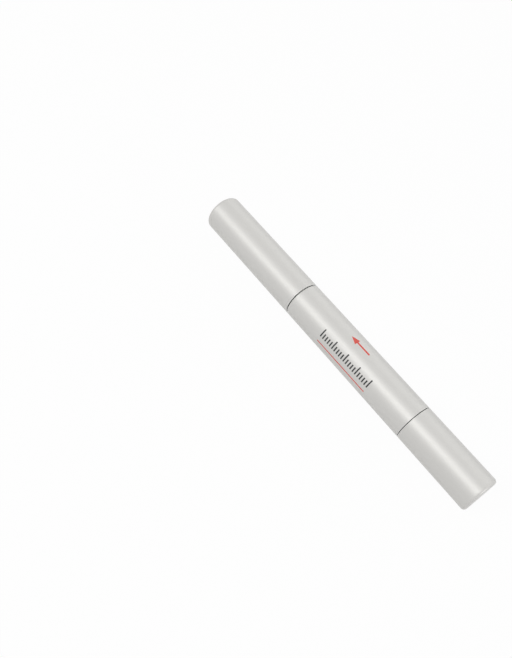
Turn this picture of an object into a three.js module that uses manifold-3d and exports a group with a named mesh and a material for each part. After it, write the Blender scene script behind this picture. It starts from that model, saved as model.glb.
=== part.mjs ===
// A twist-up gel applicator pen, closed and lying on its side.
// An aluminium knob, barrel and cap stand in one line. Under the cap a brush sits on a plastic neck, and
// behind it a reservoir holds the gel. Turning the knob turns a screw in a fixed nut, which pushes the piston
// forwards, towards the brush.
// Sizes are in millimetres. The pen lies along X with its knob towards +X. +Z is up, and the origin lies on
// the surface that the pen rests on, under the middle of its length.
// Every piece is drawn along the pen's own axis, Y, by its station: the distance from the knob's closed end.
import * as THREE from "three";
import { mergeVertices } from "three/addons/utils/BufferGeometryUtils.js";
import Module from "manifold-3d";

const wasm = await Module();
wasm.setup();

// Outside of the pen
const OUTER_DIAMETER = 12;
const KNOB_LENGTH = 26.1;
const BARREL_LENGTH = 48.8;
const CAP_LENGTH = 40.6;
const KNOB_SEAM_GAP = 0.2; // the fine line between the knob and the barrel
const CAP_SEAM_GAP = 0.3; // the darker line between the barrel and the cap
const SHELL_WALL = 0.5;
const SHELL_END_WALL = 0.6;
const CAP_EDGE_RADIUS = 1.2;
const KNOB_EDGE_RADIUS = 1;
const EDGE_BREAK = 0.12; // chamfer on each cut edge of a shell

// Clearances
const FIT_GAP = 0.1; // between pieces pressed, snapped or seated together
const RUN_GAP = 0.15; // between pieces that turn or slide on each other
const STOP_GAP = 0.5; // left before the piston or the drive sleeve reaches what is ahead of it

// Reservoir and piston
const RESERVOIR_WALL = 0.8;
const RESERVOIR_LEAD_IN = 0.3; // chamfer at each end of the bore
const PISTON_LENGTH = 6;
const PISTON_LIP = 1.4; // height of each of its two sealing lips
const PISTON_WAIST = 0.45; // how far the body between the lips is drawn in
const PISTON_NOSE = 1.2; // height of its cone-shaped front
const PISTON_NOSE_RADIUS = 2.2;

// Screw and nut
const SCREW_DIAMETER = 3;
const SCREW_FLATS = 2.2; // across its two flats
const SCREW_GRIP = 4; // length still held by the drive sleeve when the pen is empty
const SCREW_TAIL_ROOM = 2.5; // from the screw's tail to the knob's end wall
const SCREW_NECK_DIAMETER = 1.8;
const SCREW_HEAD_DIAMETER = 2.8;
const SCREW_HEAD_HEIGHT = 1;
const PISTON_THROAT = 1.2; // thickness of the piston's floor, which the screw's neck goes through
const NUT_LENGTH = 4.6;
const NUT_ACROSS_CORNERS = 7;
const NUT_RECESS = 0.3; // from the nut's front face to the end of its pocket

// Tail housing, fixed in the barrel and reaching into the knob
const COLLAR_LENGTH = 7;
const SPIGOT_LENGTH = 4.5;
const STUB_LENGTH = 11.7;
const STUB_WALL = 0.6;
const HOUSING_WEB = 1.2; // wall between the drive sleeve and the nut
const SNAP_HEIGHT = 0.25; // of the bead that keeps the knob on
const SNAP_WIDTH = 1.2;
const SNAP_SETBACK = 4; // from the knob's mouth to the bead

// Click ratchet
const RATCHET_TEETH = 16;
const RATCHET_HEIGHT = 3.2;
const RATCHET_RIM = 0.4;
const TOOTH_DEPTH = 0.5;
const LUG_COUNT = 3;
const LUG_LENGTH = 1.4; // of the lugs that stop the toothed ring turning
const LUG_WIDTH = 1.6;
const PAWL_COUNT = 2;
const PAWL_HEIGHT = 2.6;
const PAWL_HUB_WALL = 0.35;
const PAWL_ARM = 0.34; // thickness of each springy arm
const PAWL_SWEEP = 100; // degrees from an arm's root to its tip
const PAWL_NOSE = 14; // degrees of the nose that drops behind a tooth

// Drive sleeve and knob core
const DRIVE_WALL = 0.7;
const DRIVE_FLATS = 3.9; // across the two flats that carry the pawl ring and the knob core
const DRIVE_INSET = 2; // from the rear of the knob core to the rear of the drive sleeve
const CORE_SKIRT = 0.75; // wall round the stub
const CORE_WEB = 1.2;
const CORE_POCKETS = 6;
const CORE_POCKET_WALL = 0.8;

// Neck
const NECK_PLUG_LENGTH = 5.8;
const NECK_FLANGE = 0.7;
const NECK_BOSS_DIAMETER = 8.8;
const NECK_BOSS_LENGTH = 7;
const NECK_BEAD_HEIGHT = 0.15; // of the bead that the cap snaps over
const NECK_BEAD_WIDTH = 1.2;
const NECK_BEAD_SETBACK = 3.2; // from the barrel's front to the middle of the bead
const NECK_NOSE_LENGTH = 6.5;
const NECK_NOSE_REAR_DIAMETER = 6.8;
const NECK_NOSE_FRONT_DIAMETER = 5.6;
const NECK_CHANNEL_DIAMETER = 1.4;
const SEAL_RING_SECTION = 1; // diameter of the rubber ring's section
const SEAL_RING_SETBACK = 2.4; // from the rear of the plug to the middle of the ring

// Feed plug and tube, brush
const FEED_PLUG_DIAMETER = 4.4;
const FEED_PLUG_LENGTH = 5;
const FEED_TUBE_DIAMETER = 1;
const FEED_TUBE_BORE = 0.6;
const FEED_TUBE_REACH = 1.2; // past the root of the bristles
const FERRULE_SPIGOT_DIAMETER = 4;
const FERRULE_SPIGOT_LENGTH = 4;
const FERRULE_FLANGE = 0.8;
const FERRULE_LENGTH = 6.5; // in front of the neck
const FERRULE_REAR_DIAMETER = 4.8;
const FERRULE_FRONT_DIAMETER = 3.5;
const FERRULE_BORE = 2.9;
const BRISTLE_ROOT_DEPTH = 4.5; // from the ferrule's front back to the root slice
const BRISTLE_ROOT_SLICE = 0.6;
const BRISTLE_REACH = 7.5; // from the ferrule's front to the brush's point
const BRISTLE_THICKNESS = 0.08;
const BRISTLE_PITCH = 0.114;
const BRISTLE_TAPER = 0.25; // share of the tuft's width left at its point
const BRISTLE_ROUNDING = 2.6; // how much shorter the outermost bristles are

// Cap liner and seal
const LINER_MOUTH_INSET = 0.4;
const LINER_SEAT_GAP = 0.3; // between the liner's bore and the neck's boss
const LINER_STEP = 3; // from the seal to the narrow part, outside
const LINER_WALL = 0.8;
const LINER_BORE = 7.4; // round the brush
const LINER_END_WALL = 1;
const LINER_RIBS = 6;
const LINER_RIB_WIDTH = 0.8;
const LINER_BEAD_GAP = 0.07; // between the liner's bead and the neck's bead as they pass
const CAP_SEAL_HEIGHT = 1.2;
const CAP_SEAL_GAP = 0.3; // between the seal and the neck's boss

// Facets
const SHELL_SEGMENTS = 48;
const SEGMENTS = 28;
const SMALL_SEGMENTS = 20;
const EDGE_STEPS = 5;
const FILLET_STEPS = 3;
const POCKET_STEPS = 4;
const PAWL_STEPS = 8;

// Stations along the pen
const knobMouth = KNOB_LENGTH;
const barrelRear = knobMouth + KNOB_SEAM_GAP;
const barrelFront = barrelRear + BARREL_LENGTH;
const capMouth = barrelFront + CAP_SEAM_GAP;
const capEnd = capMouth + CAP_LENGTH;
const collarFront = barrelRear + COLLAR_LENGTH;
const spigotFront = collarFront + SPIGOT_LENGTH;
const stubRear = barrelRear - STUB_LENGTH;
const nutFront = spigotFront - NUT_RECESS;
const nutRear = nutFront - NUT_LENGTH;
const pocketFloor = nutRear - FIT_GAP;
const webRear = pocketFloor - HOUSING_WEB;
const driveFront = webRear - STOP_GAP;
const ratchetFront = stubRear - FIT_GAP;
const ratchetRear = ratchetFront - RATCHET_HEIGHT;
const pawlRear = ratchetRear + (RATCHET_HEIGHT - PAWL_HEIGHT) / 2;
const pawlFront = pawlRear + PAWL_HEIGHT;
const coreRear = SHELL_END_WALL + FIT_GAP;
const coreShelf = ratchetRear - RUN_GAP;
const driveRear = coreRear + DRIVE_INSET;
const snapStation = knobMouth - SNAP_SETBACK;
const pistonRear = spigotFront + NUT_RECESS;
const pistonFront = pistonRear + PISTON_LENGTH;
const flangeRear = barrelFront - NECK_FLANGE;
const plugRear = flangeRear - NECK_PLUG_LENGTH;
const bossFront = barrelFront + NECK_BOSS_LENGTH;
const neckFront = bossFront + NECK_NOSE_LENGTH;
const ferruleRear = neckFront - FERRULE_SPIGOT_LENGTH;
const ferruleFront = neckFront + FIT_GAP + FERRULE_LENGTH;
const bristleRoot = ferruleFront - BRISTLE_ROOT_DEPTH;
const bristleTip = ferruleFront + BRISTLE_REACH;
const feedPlugFront = plugRear + FEED_PLUG_LENGTH;
const linerMouth = capMouth + LINER_MOUTH_INSET;
const linerEnd = capEnd - SHELL_END_WALL - FIT_GAP;
const sealRear = bossFront + CAP_SEAL_GAP;
const sealFront = sealRear + CAP_SEAL_HEIGHT;

// The piston goes as far as the reservoir is long and as far as the screw stored in the knob can reach.
const reservoirRoom = plugRear - STOP_GAP - pistonFront;
const screwRoom = driveFront - SCREW_GRIP - SHELL_END_WALL - SCREW_TAIL_ROOM;
const pistonTravel = Math.min(reservoirRoom, screwRoom);
const screwRear = driveFront - SCREW_GRIP - pistonTravel;
const screwNeckRear = pistonRear - RUN_GAP;
const screwHeadRear = pistonRear + PISTON_THROAT + RUN_GAP;
const screwFront = screwHeadRear + SCREW_HEAD_HEIGHT;

// Radii
const outerRadius = OUTER_DIAMETER / 2;
const shellBore = outerRadius - SHELL_WALL;
const fitRadius = shellBore - FIT_GAP;
const reservoirBore = fitRadius - RESERVOIR_WALL;
const plugRadius = reservoirBore - FIT_GAP;
const pistonRadius = reservoirBore - RUN_GAP;
const skirtBore = fitRadius - CORE_SKIRT;
const stubRadius = skirtBore - RUN_GAP;
const stubBore = stubRadius - STUB_WALL;
const toothRoot = stubRadius - RATCHET_RIM;
const toothCrest = toothRoot - TOOTH_DEPTH;
const screwRadius = SCREW_DIAMETER / 2;
const driveBore = screwRadius + RUN_GAP;
const driveRadius = driveBore + DRIVE_WALL;
const pawlBore = driveRadius + FIT_GAP;
const pawlHub = pawlBore + PAWL_HUB_WALL;
const bossRadius = NECK_BOSS_DIAMETER / 2;
const beadRadius = bossRadius + NECK_BEAD_HEIGHT;
const seatBore = bossRadius + LINER_SEAT_GAP;
const linerBore = LINER_BORE / 2;
const linerRadius = linerBore + LINER_WALL;
const feedSocket = FEED_PLUG_DIAMETER / 2 + FIT_GAP;
const ferruleSocket = FERRULE_SPIGOT_DIAMETER / 2 + FIT_GAP;
const ferruleBore = FERRULE_BORE / 2;
const tuftRadius = ferruleBore - FIT_GAP;
const tubeRadius = FEED_TUBE_DIAMETER / 2;
const tubeHole = tubeRadius + FIT_GAP;

// Profile through corners [radius, station, fillet radius, steps]. A corner with a fillet becomes an arc.
function profile(corners) {
  const points = [];
  corners.forEach(([radius, station, fillet = 0, steps = FILLET_STEPS], i) => {
    const corner = new THREE.Vector2(radius, station);
    if (fillet === 0) {
      points.push(corner);
      return;
    }
    const before = new THREE.Vector2(corners[i - 1][0], corners[i - 1][1]).sub(corner).normalize();
    const after = new THREE.Vector2(corners[i + 1][0], corners[i + 1][1]).sub(corner).normalize();
    const half = Math.acos(before.dot(after)) / 2;
    const middle = before.clone().add(after).normalize();
    const centre = middle.multiplyScalar(fillet / Math.sin(half)).add(corner);
    const start = before.multiplyScalar(fillet / Math.tan(half)).add(corner).sub(centre);
    const end = after.multiplyScalar(fillet / Math.tan(half)).add(corner).sub(centre);
    const turn = Math.atan2(start.cross(end), start.dot(end));
    for (let step = 0; step <= steps; step++) {
      const spoke = start.clone().rotateAround(new THREE.Vector2(), (turn * step) / steps);
      points.push(spoke.add(centre));
    }
  });
  return points;
}

// Solid of revolution about the pen's axis. An open profile starts and ends on the axis, and a ring closes.
function revolve(corners, segments) {
  const points = profile(corners);
  const onAxis = points[0].x === 0 && points[points.length - 1].x === 0;
  if (!onAxis) {
    points.push(points[0].clone());
  }
  // Half a facet of turn puts a flat facet, not an edge, under the lying pen.
  return solidOf(new THREE.LatheGeometry(points, segments, Math.PI / segments, 2 * Math.PI));
}

// Prism of a flat shape, standing along the pen's axis between two stations.
function prism(shape, rear, front, curveSegments = SEGMENTS) {
  const geometry = new THREE.ExtrudeGeometry(shape, {
    depth: front - rear,
    bevelEnabled: false,
    curveSegments,
  });
  geometry.rotateX(-Math.PI / 2).translate(0, rear, 0);
  return solidOf(geometry);
}

// Block with its middle at a point of the axis, turned about the axis by an angle.
function block(width, depth, rear, front, radius = 0, angle = 0) {
  const geometry = new THREE.BoxGeometry(width, front - rear, depth);
  geometry.translate(radius, (rear + front) / 2, 0).rotateY(angle);
  return solidOf(geometry);
}

function solidOf(geometry) {
  const bare = new THREE.BufferGeometry();
  bare.setAttribute("position", geometry.getAttribute("position"));
  if (geometry.index) {
    bare.setIndex(geometry.index);
  }
  const merged = mergeVertices(bare, 1e-5);
  const corners = merged.index.array;
  const triVerts = [];
  for (let i = 0; i < corners.length; i += 3) {
    const [a, b, c] = [corners[i], corners[i + 1], corners[i + 2]];
    // A facet that touches the axis of a revolve has no area.
    if (a !== b && b !== c && c !== a) {
      triVerts.push(a, b, c);
    }
  }
  const mesh = new wasm.Mesh({
    numProp: 3,
    vertProperties: new Float32Array(merged.getAttribute("position").array),
    triVerts: new Uint32Array(triVerts),
  });
  return new wasm.Manifold(mesh);
}

function geometryOf(solid) {
  const mesh = solid.getMesh();
  const geometry = new THREE.BufferGeometry();
  geometry.setAttribute("position", new THREE.BufferAttribute(mesh.vertProperties, 3));
  geometry.setIndex(new THREE.BufferAttribute(mesh.triVerts, 1));
  geometry.computeVertexNormals();
  return geometry;
}

// Circle with two flats, as a keyed shaft or hole has.
function doubleD(radius, acrossFlats) {
  const half = Math.acos(acrossFlats / 2 / radius);
  const shape = new THREE.Shape();
  shape.absarc(0, 0, radius, half, Math.PI - half, false);
  shape.absarc(0, 0, radius, Math.PI + half, -half, false);
  shape.closePath();
  return shape;
}

function circleHole(radius) {
  return new THREE.Path().absarc(0, 0, radius, 0, 2 * Math.PI, true);
}

function polar(radius, angle) {
  return new THREE.Vector2(radius * Math.cos(angle), radius * Math.sin(angle));
}

// Deep-drawn aluminium cup with a rounded closed end. The end is at `closed`, the cut mouth at `mouth`.
function drawnCup(closed, mouth, edgeRadius) {
  const inward = Math.sign(mouth - closed);
  const floor = closed + inward * SHELL_END_WALL;
  const innerEdge = Math.max(edgeRadius - SHELL_WALL, EDGE_BREAK);
  const corners = [
    [0, closed],
    [outerRadius, closed, edgeRadius, EDGE_STEPS],
    [outerRadius, mouth - inward * EDGE_BREAK],
    [outerRadius - EDGE_BREAK, mouth],
    [shellBore, mouth],
    [shellBore, floor, innerEdge],
    [0, floor],
  ];
  return revolve(inward > 0 ? corners : corners.reverse(), SHELL_SEGMENTS);
}

function knobShell() {
  return drawnCup(0, knobMouth, KNOB_EDGE_RADIUS);
}

function capShell() {
  return drawnCup(capEnd, capMouth, CAP_EDGE_RADIUS);
}

// Aluminium tube, cut square at both ends.
function barrelSleeve() {
  return revolve(
    [
      [shellBore, barrelRear],
      [outerRadius - EDGE_BREAK, barrelRear],
      [outerRadius, barrelRear + EDGE_BREAK],
      [outerRadius, barrelFront - EDGE_BREAK],
      [outerRadius - EDGE_BREAK, barrelFront],
      [shellBore, barrelFront],
    ],
    SHELL_SEGMENTS,
  );
}

// Plastic tube that holds the gel. Its rear seats on the housing's collar, its front under the neck's flange.
function reservoirTube() {
  const rear = collarFront + FIT_GAP;
  const front = flangeRear - FIT_GAP;
  return revolve(
    [
      [reservoirBore + RESERVOIR_LEAD_IN, rear],
      [fitRadius, rear],
      [fitRadius, front],
      [reservoirBore + RESERVOIR_LEAD_IN, front],
      [reservoirBore, front - RESERVOIR_LEAD_IN],
      [reservoirBore, rear + RESERVOIR_LEAD_IN],
    ],
    SEGMENTS,
  );
}

// Housing of the drive: a collar pressed into the barrel, a spigot into the reservoir, a stub into the knob.
function tailHousing() {
  const grooveRadius = stubRadius - SNAP_HEIGHT;
  const grooveHalf = SNAP_WIDTH / 2 + RUN_GAP;
  const body = revolve(
    [
      [stubBore, stubRear],
      [stubRadius, stubRear],
      [stubRadius, snapStation - grooveHalf],
      [grooveRadius, snapStation - grooveHalf],
      [grooveRadius, snapStation + grooveHalf],
      [stubRadius, snapStation + grooveHalf],
      [stubRadius, barrelRear],
      [fitRadius, barrelRear],
      [fitRadius, collarFront],
      [plugRadius, collarFront],
      [plugRadius, spigotFront],
      [driveBore, spigotFront],
      [driveBore, webRear],
      [stubBore, webRear],
    ],
    SEGMENTS,
  );
  const pocketCorners = NUT_ACROSS_CORNERS / 2 + FIT_GAP;
  const pocket = prism(hexagon(pocketCorners), pocketFloor, spigotFront + RUN_GAP);
  const notchWidth = LUG_WIDTH + 2 * FIT_GAP;
  const notchFloor = stubRear + LUG_LENGTH + FIT_GAP;
  const notches = lugs(notchWidth, stubRear - RUN_GAP, notchFloor, stubRadius + RUN_GAP);
  return body.subtract(pocket).subtract(notches);
}

function hexagon(cornerRadius) {
  const corners = Array.from({ length: 6 }, (_, i) => polar(cornerRadius, (i * Math.PI) / 3));
  return new THREE.Shape(corners);
}

// Blocks spread round the stub's wall, which lock the toothed ring to the housing.
function lugs(width, rear, front, reach) {
  const depth = reach - stubBore + FIT_GAP;
  const middle = reach - depth / 2;
  const blocks = Array.from({ length: LUG_COUNT }, (_, i) =>
    block(depth, width, rear, front, middle, (i * 2 * Math.PI) / LUG_COUNT),
  );
  return wasm.Manifold.union(blocks);
}

// Hexagonal nut, held still in the housing, that the screw turns in.
function screwNut() {
  const shape = hexagon(NUT_ACROSS_CORNERS / 2);
  shape.holes.push(circleHole(driveBore));
  return prism(shape, nutRear, nutFront, SMALL_SEGMENTS / 2);
}

// Fixed ring with saw teeth inside. Each tooth has one square face, which stops the pawls from turning back.
function ratchetRing() {
  const shape = new THREE.Shape();
  shape.absarc(0, 0, stubRadius, 0, 2 * Math.PI, false);
  const pitch = (2 * Math.PI) / RATCHET_TEETH;
  const teeth = new THREE.Path();
  for (let tooth = RATCHET_TEETH; tooth > 0; tooth--) {
    const crest = polar(toothCrest, tooth * pitch);
    const flankMiddle = polar(toothCrest + TOOTH_DEPTH / 2, (tooth - 0.5) * pitch);
    const root = polar(toothRoot, (tooth - 1) * pitch);
    if (tooth === RATCHET_TEETH) {
      teeth.moveTo(crest.x, crest.y);
    } else {
      teeth.lineTo(crest.x, crest.y);
    }
    teeth.lineTo(flankMiddle.x, flankMiddle.y);
    teeth.lineTo(root.x, root.y);
  }
  teeth.closePath();
  shape.holes.push(teeth);
  const ring = prism(shape, ratchetRear, ratchetFront, SEGMENTS);
  const rootInRing = ratchetFront - RATCHET_RIM;
  return ring.add(lugs(LUG_WIDTH, rootInRing, stubRear + LUG_LENGTH, stubRadius));
}

// Ring with springy arms, keyed to the drive sleeve. Each arm trails, and its nose sits behind a tooth.
function pawlRing() {
  const tipReach = toothRoot - RUN_GAP;
  const noseFoot = toothCrest - RUN_GAP;
  const sweep = THREE.MathUtils.degToRad(PAWL_SWEEP);
  const nose = THREE.MathUtils.degToRad(PAWL_NOSE);
  const backOff = RUN_GAP / toothRoot;
  const outline = [];
  for (let arm = 0; arm < PAWL_COUNT; arm++) {
    const tip = (arm * 2 * Math.PI) / PAWL_COUNT + backOff;
    const root = tip + sweep;
    const nextTip = tip + (2 * Math.PI) / PAWL_COUNT;
    outline.push(polar(noseFoot - PAWL_ARM, tip), polar(tipReach, tip));
    for (let step = 0; step <= PAWL_STEPS; step++) {
      const share = step / PAWL_STEPS;
      const angle = THREE.MathUtils.lerp(tip + nose, root, share);
      outline.push(polar(THREE.MathUtils.lerp(noseFoot, pawlHub, share * share), angle));
    }
    // The bare hub as far as the next arm, then back under that arm to its tip.
    const hubEnd = nextTip + sweep - nose;
    for (let step = 1; step <= PAWL_STEPS; step++) {
      const angle = THREE.MathUtils.lerp(root, nextTip, step / PAWL_STEPS);
      outline.push(polar(pawlHub, angle));
    }
    for (let step = 1; step < PAWL_STEPS; step++) {
      outline.push(polar(pawlHub, THREE.MathUtils.lerp(nextTip, hubEnd, step / PAWL_STEPS)));
    }
    for (let step = PAWL_STEPS - 1; step > 0; step--) {
      const share = step / PAWL_STEPS;
      const under = THREE.MathUtils.lerp(noseFoot - PAWL_ARM, pawlHub, share * share);
      outline.push(polar(under, THREE.MathUtils.lerp(nextTip, hubEnd, share)));
    }
  }
  const shape = new THREE.Shape(outline);
  const hole = new THREE.Path();
  hole.setFromPoints(doubleD(pawlBore, DRIVE_FLATS + 2 * FIT_GAP).getPoints(SMALL_SEGMENTS / 2));
  shape.holes.push(hole);
  return prism(shape, pawlRear, pawlFront);
}

// Sleeve that turns with the knob. Its keyed bore turns the screw and lets it slide through.
function driveSleeve() {
  const body = revolve(
    [
      [0, driveRear],
      [driveRadius, driveRear],
      [driveRadius, driveFront],
      [0, driveFront],
    ],
    SEGMENTS,
  );
  const cut = driveRadius - DRIVE_FLATS / 2 + RUN_GAP;
  const cutMiddle = DRIVE_FLATS / 2 + cut / 2;
  const flats = [0, Math.PI].map((angle) =>
    block(cut, OUTER_DIAMETER, driveRear - RUN_GAP, pawlFront + FIT_GAP, cutMiddle, angle),
  );
  const boreShape = doubleD(driveBore, SCREW_FLATS + 2 * RUN_GAP);
  const bore = prism(boreShape, driveRear - RUN_GAP, driveFront + RUN_GAP, SMALL_SEGMENTS / 2);
  return body.subtract(wasm.Manifold.union(flats)).subtract(bore);
}

// Plastic core of the knob: a keyed hub with moulded pockets, and a skirt that runs round the housing's stub.
function knobCore() {
  const beadRadiusInside = skirtBore - SNAP_HEIGHT;
  const front = knobMouth - FIT_GAP;
  const body = revolve(
    [
      [0, coreRear],
      [fitRadius, coreRear, Math.max(KNOB_EDGE_RADIUS - SHELL_WALL, EDGE_BREAK)],
      [fitRadius, front],
      [skirtBore, front],
      [skirtBore, snapStation + SNAP_WIDTH / 2],
      [beadRadiusInside, snapStation + SNAP_WIDTH / 4],
      [beadRadiusInside, snapStation - SNAP_WIDTH / 4],
      [skirtBore, snapStation - SNAP_WIDTH / 2],
      [skirtBore, coreShelf],
      [0, coreShelf],
    ],
    SEGMENTS,
  );
  const keyway = doubleD(driveRadius + FIT_GAP, DRIVE_FLATS + 2 * FIT_GAP);
  const bore = prism(keyway, coreRear - RUN_GAP, coreShelf + RUN_GAP, SMALL_SEGMENTS / 2);
  const inner = pawlBore + CORE_POCKET_WALL;
  const outer = fitRadius - CORE_POCKET_WALL;
  const halfWeb = CORE_POCKET_WALL / 2;
  const pockets = Array.from({ length: CORE_POCKETS }, (_, i) => {
    const from = (i * 2 * Math.PI) / CORE_POCKETS;
    const to = ((i + 1) * 2 * Math.PI) / CORE_POCKETS;
    const shape = new THREE.Shape();
    shape.absarc(0, 0, outer, from + halfWeb / outer, to - halfWeb / outer, false);
    shape.absarc(0, 0, inner, to - halfWeb / inner, from + halfWeb / inner, true);
    shape.closePath();
    return prism(shape, coreRear - RUN_GAP, coreShelf - CORE_WEB, POCKET_STEPS);
  });
  return body.subtract(bore).subtract(wasm.Manifold.union(pockets));
}

// Screw that turns with the knob and climbs through the nut. Its head swivels in the piston.
function leadScrew() {
  const neck = SCREW_NECK_DIAMETER / 2;
  const head = SCREW_HEAD_DIAMETER / 2;
  const body = revolve(
    [
      [0, screwRear],
      [screwRadius - EDGE_BREAK, screwRear],
      [screwRadius, screwRear + EDGE_BREAK],
      [screwRadius, screwNeckRear],
      [neck, screwNeckRear],
      [neck, screwHeadRear],
      [head, screwHeadRear],
      [head - EDGE_BREAK, screwFront],
      [0, screwFront],
    ],
    SMALL_SEGMENTS,
  );
  const cut = screwRadius - SCREW_FLATS / 2 + RUN_GAP;
  const flats = [0, Math.PI].map((angle) =>
    block(cut, OUTER_DIAMETER, screwRear - RUN_GAP, screwNeckRear, SCREW_FLATS / 2 + cut / 2, angle),
  );
  return body.subtract(wasm.Manifold.union(flats));
}

// Soft piston with two lips that wipe the reservoir, and a socket behind for the screw's head.
function piston() {
  const throat = SCREW_NECK_DIAMETER / 2 + RUN_GAP;
  const socket = SCREW_HEAD_DIAMETER / 2 + RUN_GAP;
  const waist = pistonRadius - PISTON_WAIST;
  const shoulder = pistonFront - PISTON_NOSE;
  const socketFloor = screwFront + RUN_GAP;
  return revolve(
    [
      [throat, pistonRear],
      [pistonRadius - EDGE_BREAK, pistonRear],
      [pistonRadius, pistonRear + PISTON_LIP / 2],
      [waist, pistonRear + PISTON_LIP],
      [waist, shoulder - PISTON_LIP],
      [pistonRadius, shoulder - PISTON_LIP / 2],
      [pistonRadius - EDGE_BREAK, shoulder],
      [PISTON_NOSE_RADIUS, pistonFront],
      [0, pistonFront],
      [0, socketFloor],
      [socket, socketFloor],
      [socket, pistonRear + PISTON_THROAT],
      [throat, pistonRear + PISTON_THROAT],
    ],
    SEGMENTS,
  );
}

// Neck: a plug in the reservoir, a flange in the barrel's mouth, a boss that the cap snaps on, and a nose.
function neck() {
  const grooveHalf = SEAL_RING_SECTION / 2 + FIT_GAP;
  const groove = plugRadius - SEAL_RING_SECTION;
  const ring = plugRear + SEAL_RING_SETBACK;
  const bead = barrelFront + NECK_BEAD_SETBACK;
  const channel = NECK_CHANNEL_DIAMETER / 2;
  const noseRear = NECK_NOSE_REAR_DIAMETER / 2;
  const noseFront = NECK_NOSE_FRONT_DIAMETER / 2;
  return revolve(
    [
      [feedSocket, plugRear],
      [plugRadius, plugRear],
      [plugRadius, ring - grooveHalf],
      [groove, ring - grooveHalf],
      [groove, ring + grooveHalf],
      [plugRadius, ring + grooveHalf],
      [plugRadius, flangeRear],
      [fitRadius, flangeRear],
      [fitRadius, barrelFront],
      [bossRadius, barrelFront],
      [bossRadius, bead - NECK_BEAD_WIDTH / 2],
      [beadRadius, bead],
      [bossRadius, bead + NECK_BEAD_WIDTH / 2],
      [bossRadius, bossFront, RUN_GAP * 2],
      [noseRear, bossFront],
      [noseFront, neckFront, RUN_GAP * 2],
      [ferruleSocket, neckFront],
      [ferruleSocket, ferruleRear - FIT_GAP],
      [channel, ferruleRear - FIT_GAP],
      [channel, feedPlugFront + FIT_GAP],
      [feedSocket, feedPlugFront + FIT_GAP],
    ],
    SEGMENTS,
  );
}

// Rubber ring in the plug's groove.
function sealRing() {
  const section = SEAL_RING_SECTION / 2 - FIT_GAP / 2;
  const middle = plugRadius - SEAL_RING_SECTION / 2;
  const geometry = new THREE.TorusGeometry(middle, section, 8, SEGMENTS);
  geometry.rotateX(Math.PI / 2).translate(0, plugRear + SEAL_RING_SETBACK, 0);
  return solidOf(geometry);
}

// Plug that carries the feed tube, with a funnel for the gel behind it.
function feedPlug() {
  const radius = FEED_PLUG_DIAMETER / 2;
  return revolve(
    [
      [radius - EDGE_BREAK, plugRear],
      [radius, plugRear + EDGE_BREAK],
      [radius, feedPlugFront],
      [tubeHole, feedPlugFront],
      [tubeHole, plugRear + FEED_PLUG_LENGTH / 2],
    ],
    SMALL_SEGMENTS,
  );
}

// Thin tube that brings the gel to the middle of the bristles.
function feedTube() {
  const rear = plugRear + FEED_PLUG_LENGTH / 2;
  const front = bristleRoot + BRISTLE_ROOT_SLICE + FEED_TUBE_REACH;
  const bore = FEED_TUBE_BORE / 2;
  return revolve(
    [
      [bore, rear],
      [tubeRadius, rear],
      [tubeRadius, front],
      [bore, front],
    ],
    SMALL_SEGMENTS / 2,
  );
}

// Tapered holder of the bristles, plugged into the neck.
function brushFerrule() {
  const spigot = FERRULE_SPIGOT_DIAMETER / 2;
  const seat = neckFront + FIT_GAP;
  const rear = FERRULE_REAR_DIAMETER / 2;
  return revolve(
    [
      [tubeHole, ferruleRear],
      [spigot - EDGE_BREAK, ferruleRear],
      [spigot, ferruleRear + EDGE_BREAK],
      [spigot, seat],
      [rear, seat, EDGE_BREAK],
      [rear, seat + FERRULE_FLANGE],
      [FERRULE_FRONT_DIAMETER / 2, ferruleFront, EDGE_BREAK],
      [ferruleBore, ferruleFront],
      [ferruleBore, bristleRoot - FIT_GAP],
      [tubeHole, bristleRoot - FIT_GAP],
    ],
    SMALL_SEGMENTS,
  );
}

// Nylon tuft: three-sided bristles on a hexagonal grid, fused to a slice at their root and drawn to a point.
function brushBristles() {
  const rootFront = bristleRoot + BRISTLE_ROOT_SLICE;
  const slice = revolve(
    [
      [tubeHole, bristleRoot],
      [tuftRadius, bristleRoot],
      [tuftRadius, rootFront],
      [tubeHole, rootFront],
    ],
    SMALL_SEGMENTS,
  );
  const half = BRISTLE_THICKNESS / Math.sqrt(3);
  const outermost = tuftRadius * Math.cos(Math.PI / SMALL_SEGMENTS) - half - EDGE_BREAK / 4;
  const innermost = tubeHole + half + EDGE_BREAK / 4;
  const rows = Math.ceil(tuftRadius / BRISTLE_PITCH) + 1;
  const strands = [];
  for (let row = -rows; row <= rows; row++) {
    for (let column = -rows; column <= rows; column++) {
      const x = (column + (row % 2) / 2) * BRISTLE_PITCH;
      const z = (row * Math.sqrt(3) * BRISTLE_PITCH) / 2;
      const radius = Math.hypot(x, z);
      if (radius > innermost && radius < outermost) {
        strands.push(bristle(x, z, half, rootFront, radius / outermost));
      }
    }
  }
  return wasm.Manifold.union([slice, ...strands]);
}

// One bristle: straight inside the ferrule, then drawn towards the axis, to a point.
function bristle(x, z, half, rootFront, edgeShare) {
  const tip = bristleTip - BRISTLE_ROUNDING * edgeShare * edgeShare;
  const drawn = (tip - ferruleFront) / (bristleTip - ferruleFront);
  const scale = 1 - (1 - BRISTLE_TAPER) * drawn;
  const rings = [rootFront - BRISTLE_ROOT_SLICE / 2, ferruleFront];
  const positions = [];
  for (const station of rings) {
    for (let side = 0; side < 3; side++) {
      const corner = polar(half, (side * 2 * Math.PI) / 3);
      positions.push(x + corner.x, station, z - corner.y);
    }
  }
  positions.push(x * scale, tip, z * scale);
  const index = [0, 2, 1];
  for (let side = 0; side < 3; side++) {
    const next = (side + 1) % 3;
    index.push(side, next, next + 3, side, next + 3, side + 3);
    index.push(side + 3, next + 3, 6);
  }
  const geometry = new THREE.BufferGeometry();
  geometry.setAttribute("position", new THREE.Float32BufferAttribute(positions, 3));
  geometry.setIndex(index);
  return solidOf(geometry);
}

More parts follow.
